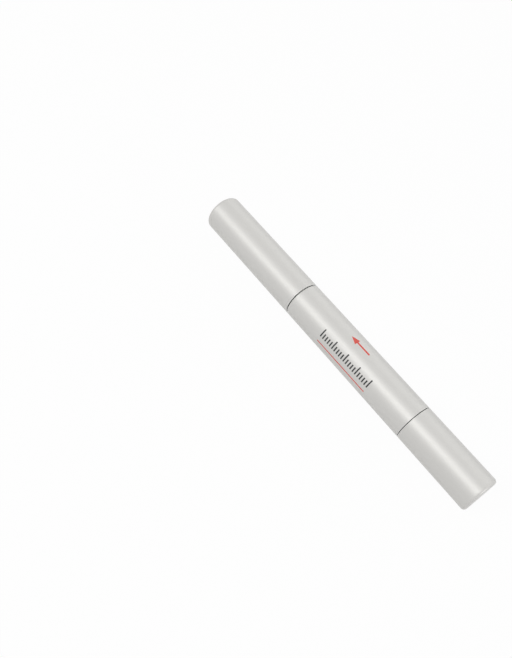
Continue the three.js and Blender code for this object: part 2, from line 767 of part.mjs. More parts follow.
// Plastic lining of the cap: a seat that snaps on the neck, then a narrower pot round the brush, with ribs.
function capLiner() {
  const bead = barrelFront + NECK_BEAD_SETBACK + NECK_BEAD_WIDTH;
  const beadBore = beadRadius + LINER_BEAD_GAP;
  const stepOutside = sealFront + LINER_STEP;
  const potFloor = linerEnd - LINER_END_WALL;
  const body = revolve(
    [
      [seatBore + EDGE_BREAK, linerMouth],
      [fitRadius, linerMouth],
      [fitRadius, stepOutside],
      [linerRadius, stepOutside],
      [linerRadius, linerEnd],
      [0, linerEnd],
      [0, potFloor],
      [linerBore, potFloor, LINER_WALL],
      [linerBore, sealFront + FIT_GAP],
      [seatBore, sealFront + FIT_GAP],
      [seatBore, bead + NECK_BEAD_WIDTH / 2],
      [beadBore, bead],
      [seatBore, bead - NECK_BEAD_WIDTH / 2],
      [seatBore, linerMouth + EDGE_BREAK],
    ],
    SEGMENTS,
  );
  const ribReach = fitRadius - linerRadius + LINER_WALL / 2;
  const ribEnd = linerEnd - CAP_EDGE_RADIUS;
  const ribs = Array.from({ length: LINER_RIBS }, (_, i) =>
    block(
      ribReach,
      LINER_RIB_WIDTH,
      stepOutside - LINER_WALL,
      ribEnd,
      fitRadius - ribReach / 2 - FIT_GAP,
      (i * 2 * Math.PI) / LINER_RIBS,
    ),
  );
  return wasm.Manifold.union([body, ...ribs]);
}

// Soft ring at the bottom of the liner's seat, which the neck's boss closes against.
function capSeal() {
  return revolve(
    [
      [linerBore + FIT_GAP, sealRear],
      [seatBore - FIT_GAP, sealRear],
      [seatBore - FIT_GAP, sealFront],
      [linerBore + FIT_GAP, sealFront],
    ],
    SEGMENTS,
  );
}

const pearlPaint = { color: 0xd6d5d2, roughness: 0.34, metalness: 0.25 };
const whitePlastic = { color: 0xeeeeea, roughness: 0.4, metalness: 0 };
const naturalPlastic = { color: 0xe4e6e3, roughness: 0.45, metalness: 0 };
const acetal = { color: 0xdad8d0, roughness: 0.5, metalness: 0 };
const greyPlastic = { color: 0x9a9b9d, roughness: 0.5, metalness: 0 };
const softSeal = { color: 0xc9c7c2, roughness: 0.7, metalness: 0 };
const nylon = { color: 0xf2f1ec, roughness: 0.35, metalness: 0 };

const pieces = [
  ["knob_shell", knobShell, pearlPaint],
  ["knob_core", knobCore, whitePlastic],
  ["drive_sleeve", driveSleeve, acetal],
  ["pawl_ring", pawlRing, acetal],
  ["ratchet_ring", ratchetRing, acetal],
  ["tail_housing", tailHousing, greyPlastic],
  ["screw_nut", screwNut, acetal],
  ["lead_screw", leadScrew, whitePlastic],
  ["piston", piston, softSeal],
  ["barrel_sleeve", barrelSleeve, pearlPaint],
  ["reservoir_tube", reservoirTube, naturalPlastic],
  ["neck", neck, whitePlastic],
  ["neck_seal_ring", sealRing, softSeal],
  ["feed_plug", feedPlug, naturalPlastic],
  ["feed_tube", feedTube, naturalPlastic],
  ["brush_ferrule", brushFerrule, naturalPlastic],
  ["brush_bristles", brushBristles, nylon],
  ["cap_liner", capLiner, whitePlastic],
  ["cap_seal", capSeal, softSeal],
  ["cap_shell", capShell, pearlPaint],
];

const pen = new THREE.Group();
for (const [name, make, finish] of pieces) {
  const mesh = new THREE.Mesh(geometryOf(make()), new THREE.MeshStandardMaterial(finish));
  mesh.name = name;
  pen.add(mesh);
}
// Laid down: the knob's closed end goes to +X, and the lowest facets rest on the surface.
pen.rotation.z = Math.PI / 2;
pen.position.set(capEnd / 2, 0, outerRadius * Math.cos(Math.PI / SHELL_SEGMENTS));

const model = new THREE.Group();
model.add(pen);

export default model;
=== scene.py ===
# %% [markdown]
# # Dressing a twist-up applicator pen
# The pen is a slim aluminium tube in three lengths: a knob to turn, a barrel and a cap. Plastic
# mouldings work inside it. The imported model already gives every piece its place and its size. This
# lesson gives each piece its fine shape and its finish, in the same frame, so nothing has to be
# fitted afterwards.

# %% Load the pen as a fixed frame
import math
import random

import bmesh
import bpy
from mathutils import Matrix, Vector


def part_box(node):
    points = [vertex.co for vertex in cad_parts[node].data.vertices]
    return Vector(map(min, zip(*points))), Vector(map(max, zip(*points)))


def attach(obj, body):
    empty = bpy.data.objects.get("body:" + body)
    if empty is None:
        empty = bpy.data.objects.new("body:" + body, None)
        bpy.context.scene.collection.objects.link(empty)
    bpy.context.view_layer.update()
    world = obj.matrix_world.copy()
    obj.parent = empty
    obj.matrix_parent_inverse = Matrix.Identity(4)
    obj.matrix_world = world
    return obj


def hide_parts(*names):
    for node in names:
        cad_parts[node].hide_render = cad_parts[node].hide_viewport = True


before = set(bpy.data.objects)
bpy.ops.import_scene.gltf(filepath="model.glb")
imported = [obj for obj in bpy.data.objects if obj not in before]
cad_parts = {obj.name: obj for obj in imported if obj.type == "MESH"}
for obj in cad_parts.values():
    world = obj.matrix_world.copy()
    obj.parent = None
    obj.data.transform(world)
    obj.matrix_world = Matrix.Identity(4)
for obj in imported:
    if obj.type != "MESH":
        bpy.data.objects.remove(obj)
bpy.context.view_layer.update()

MM = 0.001
barrel_low, barrel_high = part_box("barrel_sleeve")
AXIS = (barrel_low.z + barrel_high.z) / 2
OUTER = (barrel_high.z - barrel_low.z) / 2 / MM
KNOB_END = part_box("knob_shell")[1].x
print("pen of", len(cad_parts), "solids, axis", round(AXIS / MM, 3), "mm above the table")

# %% [markdown]
# ## The camera
# The picture was taken from close by, above the barrel, with the cap running away to the upper
# left. The camera is placed first, because everything that follows is judged through it. Its three
# directions are written as a rotation matrix, which is more exact than turning it by hand.

# %% Camera at the picture's viewing angle
CAMERA_PLACE = (0.06200, -0.07815, 0.20506)
LENS, SENSOR = 41.32, 36.0

camera_data = bpy.data.cameras.new("view_camera")
camera = bpy.data.objects.new("view_camera", camera_data)
bpy.context.scene.collection.objects.link(camera)
right = Vector((0.60749, 0.79435, 0.0))
up = Vector((-0.70912, 0.54232, 0.45064))
back = right.cross(up)
turn = Matrix((right, up, back)).transposed().to_4x4()
camera.matrix_world = Matrix.Translation(CAMERA_PLACE) @ turn
camera_data.lens = LENS
camera_data.sensor_width = SENSOR
camera_data.clip_start = 5 * MM
bpy.context.scene.camera = camera
bpy.context.scene.view_settings.view_transform = "Standard"
print("camera", [round(c, 4) for c in camera.location], "lens", camera_data.lens, "mm")

# %% [markdown]
# ## Helpers for finishes
# Every finish starts from one Principled shader. What is the same all over the surface is typed
# into its sockets. What varies, such as flakes in the lacquer or the bloom of moulded plastic,
# comes from noise on Object coordinates, so it stays on the piece in every view. Most of a noise
# lies near its middle, so only a middle span of it is spread over a whole drift. Relief is given as
# a real height in millimetres.

# %% Finish helpers
TINT_SPAN = (0.32, 0.68)
VARY_SPAN = (0.3, 0.7)


def new_finish(name, colour, roughness, metallic=0.0, **sockets):
    """A material with one Principled shader, with its even values set on the sockets."""
    finish = bpy.data.materials.new(name)
    finish.use_nodes = True
    shader = finish.node_tree.nodes["Principled BSDF"]
    shader.inputs["Base Color"].default_value = (*colour, 1.0)
    shader.inputs["Roughness"].default_value = roughness
    shader.inputs["Metallic"].default_value = metallic
    for socket, value in sockets.items():
        shader.inputs[socket.replace("_", " ")].default_value = value
    return finish


def speckle(finish, size, detail=2.0, stretch=(1.0, 1.0, 1.0)):
    """Noise on the piece, with spots of about the given size in millimetres."""
    nodes, links = finish.node_tree.nodes, finish.node_tree.links
    place = nodes.new("ShaderNodeTexCoord")
    shape = nodes.new("ShaderNodeMapping")
    shape.inputs["Scale"].default_value = stretch
    noise = nodes.new("ShaderNodeTexNoise")
    noise.inputs["Scale"].default_value = 1.0 / (size * MM)
    noise.inputs["Detail"].default_value = detail
    links.new(place.outputs["Object"], shape.inputs["Vector"])
    links.new(shape.outputs["Vector"], noise.inputs["Vector"])
    return noise.outputs["Fac"]


def tint(finish, source, dark, light):
    """Lets the colour drift between two shades with a noise."""
    nodes, links = finish.node_tree.nodes, finish.node_tree.links
    ramp = nodes.new("ShaderNodeValToRGB")
    for stop, position, shade in zip(ramp.color_ramp.elements, TINT_SPAN, (dark, light)):
        stop.position = position
        stop.color = (*shade, 1.0)
    links.new(source, ramp.inputs["Fac"])
    links.new(ramp.outputs["Color"], nodes["Principled BSDF"].inputs["Base Color"])


def vary(finish, socket, source, low, high):
    """Lets one of the shader's values drift between two numbers with a noise."""
    nodes, links = finish.node_tree.nodes, finish.node_tree.links
    span = nodes.new("ShaderNodeMapRange")
    span.inputs["From Min"].default_value, span.inputs["From Max"].default_value = VARY_SPAN
    span.inputs["To Min"].default_value = low
    span.inputs["To Max"].default_value = high
    links.new(source, span.inputs["Value"])
    links.new(span.outputs["Result"], nodes["Principled BSDF"].inputs[socket])


def relief(finish, source, height):
    """Raises the surface by a noise, up to a height in millimetres."""
    nodes, links = finish.node_tree.nodes, finish.node_tree.links
    bump = nodes.new("ShaderNodeBump")
    bump.inputs["Distance"].default_value = height * MM
    links.new(source, bump.inputs["Height"])
    links.new(bump.outputs["Normal"], nodes["Principled BSDF"].inputs["Normal"])


print("finish helpers ready")

# %% [markdown]
# ## Pearl lacquer
# The shells are sprayed with a pearl-white satin lacquer: fine bright flakes in a warm off-white,
# with a broad soft highlight. A clear coat would add a mirror image, which they don't show, so one
# shader does it all. A little metalness gives the pearl its lift. Flakes a tenth of a millimetre
# wide vary the colour and the gloss, and a very shallow ripple stands for the sprayed surface.

# %% Lacquer on the shells
PEARL_COLOUR = (0.64, 0.632, 0.61)
FLAKE_SHADE = 0.025

pearl = new_finish("pearl_lacquer", PEARL_COLOUR, 0.46, 0.30, Specular_IOR_Level=0.5)
tint(pearl, speckle(pearl, 0.10, 1.0),
     [c - FLAKE_SHADE for c in PEARL_COLOUR], [c + FLAKE_SHADE for c in PEARL_COLOUR])
vary(pearl, "Roughness", speckle(pearl, 0.16), 0.41, 0.50)
relief(pearl, speckle(pearl, 0.9, 3.0), 0.004)
print("finish", pearl.name)

# %% [markdown]
# ## Bare aluminium
# The lacquer stops at the cut edges, and inside the shells the metal is bare. Drawing the tube
# leaves fine lines along it, so the noise is stretched a lot along X.

# %% Bare metal inside the shells
bare_metal = new_finish("bare_aluminium", (0.80, 0.81, 0.82), 0.34, 1.0)
drawn_lines = speckle(bare_metal, 0.06, stretch=(0.02, 1.0, 1.0))
tint(bare_metal, drawn_lines, (0.74, 0.75, 0.76), (0.85, 0.86, 0.87))
vary(bare_metal, "Roughness", drawn_lines, 0.27, 0.42)
relief(bare_metal, drawn_lines, 0.002)
print("finish", bare_metal.name)

# %% [markdown]
# ## Plastics, seals and ink
# The neck and the liner are white polypropylene, slightly translucent. The brush holder and the gel
# tube are the same plastic without pigment, so more light gets into them. Light of every colour
# spreads about as far in these plastics, where Blender's own values are made for skin. The click
# parts are acetal, waxy and a little yellow. The housing is grey. Where it shows in the seam at the
# knob, its grey also stands for the shade in that gap, so it is partly painted shade. Seals are matt
# and soft. Each finish gets its own grain size, because a moulding copies the spark-eroded or
# polished face of its mould.

# %% Moulded finishes
CLOUD_SIZE = 2.4
CLOUD_DARK, CLOUD_LIGHT, LIGHTEST = 0.965, 1.025, 0.95
EVEN_SPREAD = (1.0, 0.95, 0.9)


def moulded_finish(name, colour, roughness, grain, height, **sockets):
    """Moulded plastic: a faint cloud in the colour, and the mould's grain in gloss and relief."""
    finish = new_finish(name, colour, roughness, **sockets)
    tint(finish, speckle(finish, CLOUD_SIZE),
         [c * CLOUD_DARK for c in colour], [min(c * CLOUD_LIGHT, LIGHTEST) for c in colour])
    mould_face = speckle(finish, grain)
    vary(finish, "Roughness", mould_face, roughness - 0.05, roughness + 0.06)
    relief(finish, mould_face, height)
    return finish


def translucent(weight, depth):
    """The sockets of a plastic that lets some light in, to a depth in millimetres."""
    return {"Subsurface_Weight": weight, "Subsurface_Scale": depth * MM,
            "Subsurface_Radius": EVEN_SPREAD}


white_pp = moulded_finish("white_polypropylene", (0.82, 0.82, 0.80), 0.38, 0.12, 0.004,
                          **translucent(0.12, 0.4))
natural_pp = moulded_finish("natural_polypropylene", (0.78, 0.79, 0.77), 0.36, 0.20, 0.003,
                            **translucent(0.45, 0.9))
acetal = moulded_finish("acetal", (0.72, 0.70, 0.64), 0.44, 0.10, 0.003, **translucent(0.10, 0.3))
# Grey housing: its own colour, and also painted shade for the seam at the knob, where it shows.
grey_moulding_and_seam_shade = moulded_finish("grey_moulding_and_seam_shade", (0.30, 0.305, 0.31), 0.48, 0.10, 0.005)
soft_elastomer = moulded_finish("soft_elastomer", (0.58, 0.57, 0.54), 0.68, 0.14, 0.006)
nylon = moulded_finish("nylon_filament", (0.88, 0.87, 0.84), 0.36, 0.30, 0.001)
black_ink = moulded_finish("black_ink", (0.022, 0.022, 0.024), 0.50, 0.06, 0.002)
coral_ink = moulded_finish("coral_ink", (0.70, 0.10, 0.075), 0.50, 0.06, 0.002)
print("moulded finishes:", white_pp.name, natural_pp.name, acetal.name, grey_moulding_and_seam_shade.name,
      soft_elastomer.name, nylon.name, black_ink.name, coral_ink.name)

# %% [markdown]
# ## A lathe
# Most of this pen is round, so most pieces are turned, as on a lathe. One vertex is extruded from
# corner to corner of half a section. The corners that are rounded on the real piece are bevelled
# while the section is still a wire, and a full spin round the axis makes the solid. A cylinder
# primitive would be quicker, but it has no wall, no rounded rim and no groove. Stations count in
# millimetres from the knob's closed end.

# %% Places and selection
MERGE = 0.001 * MM


def corner(station, radius):
    """A point above the axis, at a station along the pen."""
    return Vector((KNOB_END - station * MM, 0.0, AXIS + radius * MM))


def ends(node):
    """The stations of a node's rear and front."""
    low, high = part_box(node)
    return (KNOB_END - high.x) / MM, (KNOB_END - low.x) / MM


def select_where(piece, test):
    """Selects the vertices whose place passes a test."""
    bpy.ops.mesh.select_all(action="DESELECT")
    shape = bmesh.from_edit_mesh(piece.data)
    for vertex in shape.verts:
        vertex.select = test(vertex.co)
    shape.select_flush_mode()
    bmesh.update_edit_mesh(piece.data)


print("places within", MERGE / MM, "mm count as one")


# %% Lathe
def even_shading(piece, angle=38):
    """Smooth shading up to an angle, weighted so that flats stay flat next to small roundings."""
    bpy.ops.object.select_all(action="DESELECT")
    piece.select_set(True)
    bpy.context.view_layer.objects.active = piece
    bpy.ops.object.shade_smooth_by_angle(angle=math.radians(angle))
    weighting = piece.modifiers.new("weighting", "WEIGHTED_NORMAL")
    weighting.keep_sharp = True
    bpy.ops.object.modifier_apply(modifier=weighting.name)


def wire(name, path):
    """One vertex, extruded from point to point. The new piece is left in edit mode."""
    bpy.ops.object.select_all(action="DESELECT")
    bpy.ops.mesh.primitive_plane_add(size=MM, location=path[0])
    piece = bpy.context.active_object
    piece.name = name
    bpy.ops.object.transform_apply(location=True, rotation=True, scale=True)
    bpy.ops.object.mode_set(mode="EDIT")
    bpy.ops.mesh.select_all(action="SELECT")
    bpy.ops.mesh.merge(type="CENTER")
    for here, there in zip(path, path[1:]):
        bpy.ops.mesh.extrude_region_move(TRANSFORM_OT_translate={"value": there - here})
    return piece


def turned(name, section, ring=False, steps=96, rounding_steps=5):
    """Spins a section of (station, radius, rounding) corners. A ring closes on itself."""
    points = [corner(station, radius) for station, radius, *_ in section]
    piece = wire(name, points + points[:1] if ring else points)
    bpy.ops.mesh.select_all(action="SELECT")
    bpy.ops.mesh.remove_doubles(threshold=MERGE)
    for point, (_, _, *rounding) in zip(points, section):
        if rounding:
            select_where(piece, lambda place: (place - point).length < 2 * MERGE)
            bpy.ops.mesh.bevel(affect="VERTICES", offset=rounding[0] * MM, segments=rounding_steps)
    bpy.ops.mesh.select_all(action="SELECT")
    bpy.ops.mesh.spin(steps=steps, angle=math.tau, center=(0.0, 0.0, AXIS), axis=(1.0, 0.0, 0.0))
    bpy.ops.mesh.select_all(action="SELECT")
    bpy.ops.mesh.remove_doubles(threshold=MERGE)
    bpy.ops.mesh.normals_make_consistent(inside=False)
    bpy.ops.object.mode_set(mode="OBJECT")
    even_shading(piece)
    return piece


print("lathe ready")


# %% [markdown]
# What repeats on a piece is copied and joined to it. Every finished piece is then fitted: it gets
# its finish, the body that it moves with and the solid that it stands for. One helper does this for
# all of them, so that none is forgotten.

# %% Copies, joining and fitting
def repeated(piece, moves):
    """The piece and its copies. Each copy has its own mesh, set in place by a matrix."""
    pieces = [piece]
    for move in moves:
        copy = piece.copy()
        copy.data = piece.data.copy()
        copy.data.transform(move)
        bpy.context.scene.collection.objects.link(copy)
        pieces.append(copy)
    return pieces


def joined(main, others):
    """Joins other pieces into the main one."""
    bpy.ops.object.select_all(action="DESELECT")
    for piece in others:
        piece.select_set(True)
    main.select_set(True)
    bpy.context.view_layer.objects.active = main
    bpy.ops.object.join()


def fit(piece, body, node, slot, *finishes):
    """Gives a piece its finish and its place in the assembly, and says what it measures."""
    for finish in finishes:
        piece.data.materials.append(finish)
    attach(piece, body)
    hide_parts(node)
    print(piece.name, "rides on", body, "with", len(piece.data.polygons), "faces,",
          [round(side / MM, 2) for side in piece.dimensions], "mm")


print("fitting helpers ready")

# %% [markdown]
# ## The three shells
# The cap and the knob are deep-drawn cups with a rounded closed end, and the barrel is a tube cut
# square. All three have a wall of half a millimetre, and every cut edge is broken so that it
# catches a fine line of light. Solidify could give a cylinder its wall, but not each edge its own
# rounding, so the shells are turned from a section. The seams between them are real gaps, finer at
# the knob than at the cap.

# %% Shells
SHELL_BORE, SHELL_WALL, END_WALL = 5.5, 0.5, 0.6
KNOB_ROUNDING, CAP_ROUNDING = 1.0, 1.2
KNOB_SEAM_EDGE, CAP_SEAM_EDGE, BORE_EDGE = 0.05, 0.18, 0.08
KNOB_REAR, KNOB_MOUTH = ends("knob_shell")
BARREL_REAR, BARREL_FRONT = ends("barrel_sleeve")
CAP_MOUTH, CAP_END = ends("cap_shell")


def cup(name, end, inner_end, mouth, rounding, mouth_edge):
    """A drawn cup, from the middle of its closed end round the wall to the middle inside."""
    return turned(name, [
        (end, 0.0), (end, OUTER, rounding), (mouth, OUTER, mouth_edge),
        (mouth, SHELL_BORE, BORE_EDGE), (inner_end, SHELL_BORE, rounding - SHELL_WALL),
        (inner_end, 0.0)], steps=128, rounding_steps=8)


knob_cup = cup("knob_cup", KNOB_REAR, KNOB_REAR + END_WALL, KNOB_MOUTH, KNOB_ROUNDING,
               KNOB_SEAM_EDGE)
barrel_tube = turned("barrel_tube", [
    (BARREL_REAR, SHELL_BORE, BORE_EDGE), (BARREL_REAR, OUTER, KNOB_SEAM_EDGE),
    (BARREL_FRONT, OUTER, CAP_SEAM_EDGE), (BARREL_FRONT, SHELL_BORE, BORE_EDGE)],
    ring=True, steps=128)
cap_cup = cup("cap_cup", CAP_END, CAP_END - END_WALL, CAP_MOUTH, CAP_ROUNDING, CAP_SEAM_EDGE)
fit(knob_cup, "knob", "knob_shell", "pearl_shell", pearl, bare_metal)
fit(barrel_tube, "barrel", "barrel_sleeve", "pearl_shell", pearl, bare_metal)
fit(cap_cup, "cap", "cap_shell", "pearl_shell", pearl, bare_metal)

# %% [markdown]
# The spray gun reaches the outside and the outer part of each cut rim. The bore and the floor of
# the cups stay bare, so their faces get the second finish. They could be picked by hand, but a test
# of each face's place and direction still holds after a change of size. The outer skin of a closed
# end always counts as sprayed.

# %% Bare faces inside the shells
END_SKIN, BORE_SLACK, SPRAYED_RIM = 0.45, 0.03, 0.11


def is_bare(face):
    """True for the faces of a shell that the spray doesn't reach."""
    radius = math.hypot(face.center.y, face.center.z - AXIS) / MM
    station = (KNOB_END - face.center.x) / MM
    if not KNOB_REAR + END_SKIN < station < CAP_END - END_SKIN:
        return False
    cut_rim = abs(face.normal.x) > 0.9 and radius < OUTER - SPRAYED_RIM
    return radius < SHELL_BORE + BORE_SLACK or cut_rim


for shell in (knob_cup, barrel_tube, cap_cup):
    for face in shell.data.polygons:
        face.material_index = 1 if is_bare(face) else 0
    print(shell.name, "has", sum(face.material_index for face in shell.data.polygons), "bare faces")

# %% [markdown]
# ## The neck and its sealing ring
# Under the cap a white moulding closes the barrel. Its plug goes into the gel reservoir with a
# rubber ring in a groove, its flange fills the barrel's mouth, and the boss in front has the low
# bead that the cap snaps over. A tapered nose holds the brush. One section holds all of it, because
# it is one moulding.

# %% Neck
rear, front = ends("neck")
PLUG, GROOVE, FLANGE, BOSS, NECK_BEAD = 4.5, 3.5, 5.4, 4.4, 4.55
PLUG_SOCKET, BRUSH_SOCKET, TUBE_HOLE = 2.3, 2.1, 0.7
groove_rear, groove_front = rear + 1.8, rear + 3.0
flange_rear = BARREL_FRONT - 0.7
neck_bead = BARREL_FRONT + 3.2
boss_front = BARREL_FRONT + 7.0
plug_floor, brush_floor = rear + 5.1, front - 4.1
neck_moulding = turned("neck_moulding", [
    (rear, PLUG_SOCKET, 0.1), (rear, PLUG, 0.3), (groove_rear, PLUG, 0.05),
    (groove_rear, GROOVE, 0.1), (groove_front, GROOVE, 0.1), (groove_front, PLUG, 0.05),
    (flange_rear, PLUG, 0.05), (flange_rear, FLANGE, 0.08), (BARREL_FRONT, FLANGE, 0.08),
    (BARREL_FRONT, BOSS, 0.15), (neck_bead - 0.6, BOSS, 0.2), (neck_bead, NECK_BEAD, 0.25),
    (neck_bead + 0.6, BOSS, 0.2), (boss_front, BOSS, 0.35), (boss_front, 3.4, 0.25),
    (front, 2.8, 0.3), (front, BRUSH_SOCKET, 0.1), (brush_floor, BRUSH_SOCKET),
    (brush_floor, TUBE_HOLE), (plug_floor, TUBE_HOLE), (plug_floor, PLUG_SOCKET)], ring=True)
fit(neck_moulding, "barrel", "neck", "white_plastic", white_pp)

# %% [markdown]
# The ring is soft rubber, pressed between the neck's groove and the reservoir. A torus would be
# perfectly round. A square section with large roundings keeps small flats where it is pressed.

# %% Sealing ring
RING_INNER, RING_OUTER, RING_ROUNDING = 3.55, 4.45, 0.44
rear, front = ends("neck_seal_ring")
neck_o_ring = turned("neck_o_ring", [
    (rear, RING_INNER, RING_ROUNDING), (rear, RING_OUTER, RING_ROUNDING),
    (front, RING_OUTER, RING_ROUNDING), (front, RING_INNER, RING_ROUNDING)], ring=True)
fit(neck_o_ring, "barrel", "neck_seal_ring", "soft_seal", soft_elastomer)

# %% [markdown]
# ## The way of the gel
# The gel waits in a milky tube, is pushed by a soft piston with two wiping lips, enters a funnel in
# the feed plug and goes through a thin tube into the middle of the bristles. The piston's lips could
# be rings of their own, but it is one soft moulding, so they are two bevelled ridges of its section
# with a waist between them.

# %% Reservoir and piston
TUBE_OUTER, TUBE_MOUTH, TUBE_BORE = 5.4, 4.9, 4.6
rear, front = ends("reservoir_tube")
gel_reservoir = turned("gel_reservoir", [
    (rear, TUBE_MOUTH), (rear, TUBE_OUTER, 0.12), (front, TUBE_OUTER, 0.12), (front, TUBE_MOUTH),
    (front - 0.3, TUBE_BORE), (rear + 0.3, TUBE_BORE)], ring=True)
LIP, LIP_FOOT, WAIST = 4.45, 4.33, 4.0
SWIVEL_MOUTH, SWIVEL_POCKET = 1.05, 1.55
rear, front = ends("piston")
gel_piston = turned("gel_piston", [
    (front, 0.0), (front, 2.2, 0.4), (front - 1.2, LIP_FOOT, 0.1), (front - 1.9, LIP, 0.25),
    (front - 2.6, WAIST, 0.3), (rear + 1.4, WAIST, 0.3), (rear + 0.7, LIP, 0.25),
    (rear, LIP_FOOT, 0.12), (rear, SWIVEL_MOUTH, 0.1), (rear + 1.2, SWIVEL_MOUTH, 0.08),
    (rear + 1.2, SWIVEL_POCKET), (rear + 2.5, SWIVEL_POCKET, 0.2), (rear + 2.5, 0.0)])
fit(gel_reservoir, "barrel", "reservoir_tube", "natural_plastic", natural_pp)
fit(gel_piston, "piston", "piston", "soft_seal", soft_elastomer)

# %% Feed plug and feed tube
FEED_PLUG, FEED_HOLE = 2.2, 0.6
rear, front = ends("feed_plug")
gel_plug = turned("gel_plug", [
    (rear, FEED_PLUG - 0.14, 0.04), (rear + 0.14, FEED_PLUG, 0.06), (front, FEED_PLUG, 0.15),
    (front, FEED_HOLE), (rear + 2.5, FEED_HOLE)], ring=True, steps=64)
FEED_OUTER, FEED_BORE = 0.5, 0.3
rear, front = ends("feed_tube")
gel_tube = turned("gel_tube", [
    (rear, FEED_BORE, 0.04), (rear, FEED_OUTER, 0.04), (front, FEED_OUTER, 0.05),
    (front, FEED_BORE, 0.05)], ring=True, steps=48)
fit(gel_plug, "barrel", "feed_plug", "natural_plastic", natural_pp)
fit(gel_tube, "barrel", "feed_tube", "natural_plastic", natural_pp)

# %% [markdown]
# ## The bristle holder
# A small tapered holder plugs into the neck and grips the tuft. It is turned like the neck.

# %% Bristle holder
HOLDER_PLUG, HOLDER_COLLAR, TUFT_SOCKET = 2.0, 2.4, 1.45
rear, HOLDER_FRONT = ends("brush_ferrule")
socket_floor = HOLDER_FRONT - 4.6
bristle_holder = turned("bristle_holder", [
    (rear, FEED_HOLE), (rear, HOLDER_PLUG, 0.15), (rear + 4.1, HOLDER_PLUG, 0.05),
    (rear + 4.1, HOLDER_COLLAR, 0.14), (rear + 4.9, HOLDER_COLLAR, 0.3), (HOLDER_FRONT, 1.75, 0.14),
    (HOLDER_FRONT, TUFT_SOCKET, 0.1), (socket_floor, TUFT_SOCKET), (socket_floor, FEED_HOLE)],
    ring=True, steps=72)
fit(bristle_holder, "barrel", "brush_ferrule", "natural_plastic", natural_pp)

# %% [markdown]
# ## The bristles
# The tuft is some five hundred nylon filaments, each about as thin as a hair, melted together at
# the root and drawn to a point. A hair system would be quicker to grow, but it isn't a mesh. One
# filament is modelled instead: a thin five-sided prism, extruded ring by ring and narrowed to its
# tip. Its copies are spread over the tuft like the seeds of a sunflower, which gives an even spacing
# without rows. Each copy leans towards the axis and wanders a little. A seeded random makes every
# run the same.

# %% One filament
FILAMENT_COUNT, FILAMENT_SIDES, FILAMENT_RADIUS = 520, 5, 0.039
FREE_LENGTH = 7.0
RINGS = ((0.0, 1.0), (0.22, 1.0), (0.44, 0.96), (0.66, 0.88), (0.85, 0.75), (1.0, 0.40))
ROOT = ends("brush_bristles")[0]
ROOT_MIDDLE, ROOT_FRONT = ROOT + 0.3, ROOT + 0.6

bpy.ops.object.select_all(action="DESELECT")
bpy.ops.mesh.primitive_circle_add(
    vertices=FILAMENT_SIDES, radius=FILAMENT_RADIUS * MM, fill_type="NGON",
    location=corner(ROOT_MIDDLE, 0.0), rotation=(0.0, -math.pi / 2, 0.0))
filament = bpy.context.active_object
filament.name = "filament"
bpy.ops.object.transform_apply(location=True, rotation=True, scale=True)
bpy.ops.object.mode_set(mode="EDIT")
bpy.ops.mesh.select_all(action="SELECT")
before = ROOT_MIDDLE
for share, scale in RINGS:
    station = HOLDER_FRONT + share * FREE_LENGTH
    advance = ((before - station) * MM, 0.0, 0.0)
    bpy.ops.mesh.extrude_region_move(TRANSFORM_OT_translate={"value": advance})
    bpy.ops.transform.resize(value=(1.0, scale, scale), center_override=corner(station, 0.0))
    before = station
bpy.ops.mesh.select_all(action="SELECT")
bpy.ops.mesh.normals_make_consistent(inside=False)
bpy.ops.object.mode_set(mode="OBJECT")
bpy.ops.object.shade_smooth()
print("filament of", len(filament.data.polygons), "faces")

# %% [markdown]
# A copy is moved to its own place in the tuft and its free length is bent by moving its rings.
# Shorter filaments stand on the outside, so that the tuft ends in a point.

# %% Bending a filament
BELLY, BELLY_SHARE = 0.10, 0.625
DRAW_POWER, WANDER_POWER = 1.6, 2


def place_filament(copy, radius, angle, length, lean, wander):
    """Moves each vertex of a copy: straight in the holder, then drawn to the axis and bent."""
    for vertex in copy.data.vertices:
        station = (KNOB_END - vertex.co.x) / MM
        free = max(station - HOLDER_FRONT, 0.0) / FREE_LENGTH
        belly = 1.0 + BELLY * math.sin(math.pi * min(free / BELLY_SHARE, 1.0))
        reach = radius * belly * (1.0 - lean * free ** DRAW_POWER)
        side = wander * free ** WANDER_POWER
        vertex.co.y += (reach * math.cos(angle) + side.x) * MM
        vertex.co.z += (reach * math.sin(angle) + side.y) * MM
        if free > 0.0:
            vertex.co.x = KNOB_END - (HOLDER_FRONT + free * length) * MM


print("filaments swell by", BELLY, "before they are drawn in")

# %% The tuft
chance = random.Random(20)
GOLDEN_ANGLE = math.pi * (3.0 - math.sqrt(5.0))
INNERMOST, OUTERMOST, ROOT_DISC = 0.64, 1.30, 1.35
EDGE_SHORTER, WANDER = 2.0, 0.05
strands = []
for count in range(FILAMENT_COUNT):
    share = (count + 0.5) / FILAMENT_COUNT
    radius = math.sqrt(INNERMOST ** 2 + share * (OUTERMOST ** 2 - INNERMOST ** 2))
    shorter = EDGE_SHORTER * (radius / OUTERMOST) ** 2 * chance.uniform(0.75, 1.1)
    copy = filament.copy()
    copy.data = filament.data.copy()
    bpy.context.scene.collection.objects.link(copy)
    wander = Vector((chance.gauss(0.0, WANDER), chance.gauss(0.0, WANDER)))
    lean = chance.uniform(0.66, 0.80)
    place_filament(copy, radius, count * GOLDEN_ANGLE, FREE_LENGTH - shorter, lean, wander)
    strands.append(copy)
bristle_tuft = turned("bristle_tuft", [
    (ROOT, FEED_HOLE), (ROOT, ROOT_DISC, 0.05), (ROOT_FRONT, ROOT_DISC, 0.05),
    (ROOT_FRONT, FEED_HOLE)], ring=True, steps=48)
joined(bristle_tuft, strands)
bpy.data.objects.remove(filament)
fit(bristle_tuft, "barrel", "brush_bristles", "nylon_bristle", nylon)

# %% [markdown]
# ## The cap's lining and seal
# The cap is lined with white plastic: a wide seat with a bead that snaps behind the neck's bead,
# then a narrow pot round the brush. Like the neck it is one moulding, so it is turned from one
# section.

